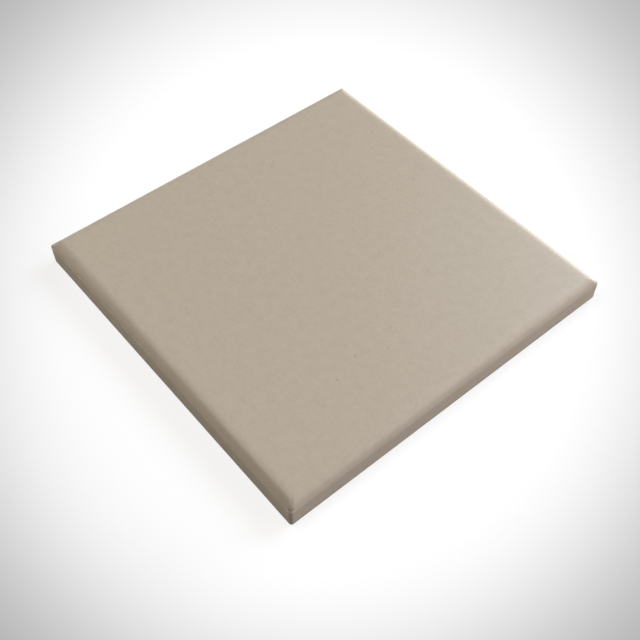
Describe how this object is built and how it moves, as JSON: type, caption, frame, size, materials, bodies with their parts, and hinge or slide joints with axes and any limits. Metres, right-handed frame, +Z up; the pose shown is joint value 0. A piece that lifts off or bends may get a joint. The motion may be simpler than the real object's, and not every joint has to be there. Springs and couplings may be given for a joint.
{
  "type": "floor tile",
  "caption": "Plain square unglazed floor tile in buff clay with a soft cushion edge and a keyed back, for geometric floors.",
  "frame": {"origin": "middle of the bed face, at the level of the back's rib tops", "axes": "+Z up out of the wear face, X and Y along the tile's sides"},
  "size_m": [0.106, 0.106, 0.008],
  "materials": {
    "vitrified_clay": "unglazed, matt, fine speckle"
  },
  "bodies": {
    "root": {"floor_tile": "vitrified_clay"}
  },
  "joints": []
}
